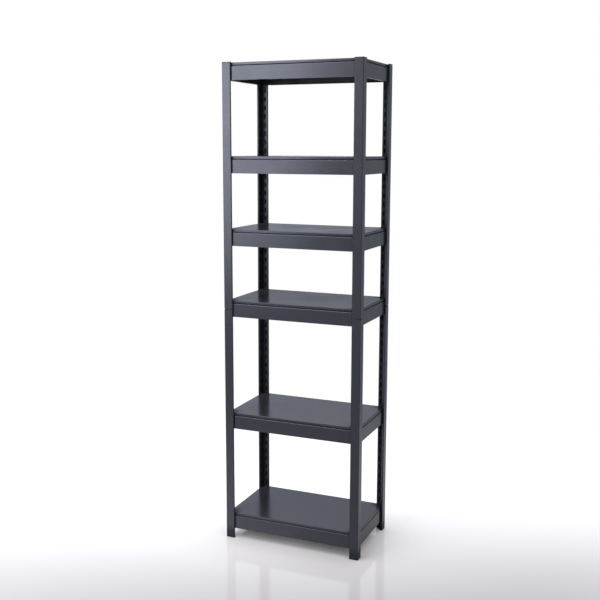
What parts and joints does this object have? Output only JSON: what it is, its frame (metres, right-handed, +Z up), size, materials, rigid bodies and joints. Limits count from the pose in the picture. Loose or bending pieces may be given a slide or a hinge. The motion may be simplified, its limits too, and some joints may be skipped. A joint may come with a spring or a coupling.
{
  "type": "boltless metal shelving rack",
  "caption": "Tall narrow boltless steel rack: slotted angle posts in two lengths, hooked folded beams and lift-out tray shelves.",
  "frame": {"origin": "on the floor, under the centre of the rack", "axes": "+X along the width to the right, +Y along the depth to the back, +Z up"},
  "size_m": [0.6, 0.36, 2],
  "materials": {
    "charcoal_steel": "semi-gloss charcoal powder coat",
    "black_plastic": "matt moulded plastic"
  },
  "bodies": {
    "frame": {"foot_front_left": "black_plastic", "splice_front_left": "black_plastic", "cap_front_left": "black_plastic", "foot_front_right": "black_plastic", "splice_front_right": "black_plastic", "cap_front_right": "black_plastic", "foot_back_right": "black_plastic", "splice_back_right": "black_plastic", "cap_back_right": "black_plastic", "foot_back_left": "black_plastic", "splice_back_left": "black_plastic", "cap_back_left": "black_plastic", "post_lower_front_left": "charcoal_steel", "post_upper_front_left": "charcoal_steel", "post_lower_front_right": "charcoal_steel", "post_upper_front_right": "charcoal_steel", "post_lower_back_right": "charcoal_steel", "post_upper_back_right": "charcoal_steel", "post_lower_back_left": "charcoal_steel", "post_upper_back_left": "charcoal_steel", "shelf_1_beam_front": "charcoal_steel", "shelf_1_beam_right": "charcoal_steel", "shelf_1_beam_back": "charcoal_steel", "shelf_1_beam_left": "charcoal_steel", "shelf_2_beam_front": "charcoal_steel", "shelf_2_beam_right": "charcoal_steel", "shelf_2_beam_back": "charcoal_steel", "shelf_2_beam_left": "charcoal_steel", "shelf_3_beam_front": "charcoal_steel", "shelf_3_beam_right": "charcoal_steel", "shelf_3_beam_back": "charcoal_steel", "shelf_3_beam_left": "charcoal_steel", "shelf_4_beam_front": "charcoal_steel", "shelf_4_beam_right": "charcoal_steel", "shelf_4_beam_back": "charcoal_steel", "shelf_4_beam_left": "charcoal_steel", "shelf_5_beam_front": "charcoal_steel", "shelf_5_beam_right": "charcoal_steel", "shelf_5_beam_back": "charcoal_steel", "shelf_5_beam_left": "charcoal_steel", "shelf_6_beam_front": "charcoal_steel", "shelf_6_beam_right": "charcoal_steel", "shelf_6_beam_back": "charcoal_steel", "shelf_6_beam_left": "charcoal_steel"},
    "panel_1": {"shelf_1_panel": "charcoal_steel", "shelf_1_stiffener": "charcoal_steel"},
    "panel_2": {"shelf_2_panel": "charcoal_steel", "shelf_2_stiffener": "charcoal_steel"},
    "panel_3": {"shelf_3_panel": "charcoal_steel", "shelf_3_stiffener": "charcoal_steel"},
    "panel_4": {"shelf_4_panel": "charcoal_steel", "shelf_4_stiffener": "charcoal_steel"},
    "panel_5": {"shelf_5_panel": "charcoal_steel", "shelf_5_stiffener": "charcoal_steel"},
    "panel_6": {"shelf_6_panel": "charcoal_steel", "shelf_6_stiffener": "charcoal_steel"}
  },
  "joints": [
    {"name": "panel_1_lift", "type": "slide", "parent": "frame", "child": "panel_1", "axis": [0, 0, 1], "range_m": [0, 0.12]},
    {"name": "panel_2_lift", "type": "slide", "parent": "frame", "child": "panel_2", "axis": [0, 0, 1], "range_m": [0, 0.12]},
    {"name": "panel_3_lift", "type": "slide", "parent": "frame", "child": "panel_3", "axis": [0, 0, 1], "range_m": [0, 0.12]},
    {"name": "panel_4_lift", "type": "slide", "parent": "frame", "child": "panel_4", "axis": [0, 0, 1], "range_m": [0, 0.12]},
    {"name": "panel_5_lift", "type": "slide", "parent": "frame", "child": "panel_5", "axis": [0, 0, 1], "range_m": [0, 0.12]},
    {"name": "panel_6_lift", "type": "slide", "parent": "frame", "child": "panel_6", "axis": [0, 0, 1], "range_m": [0, 0.12]}
  ]
}
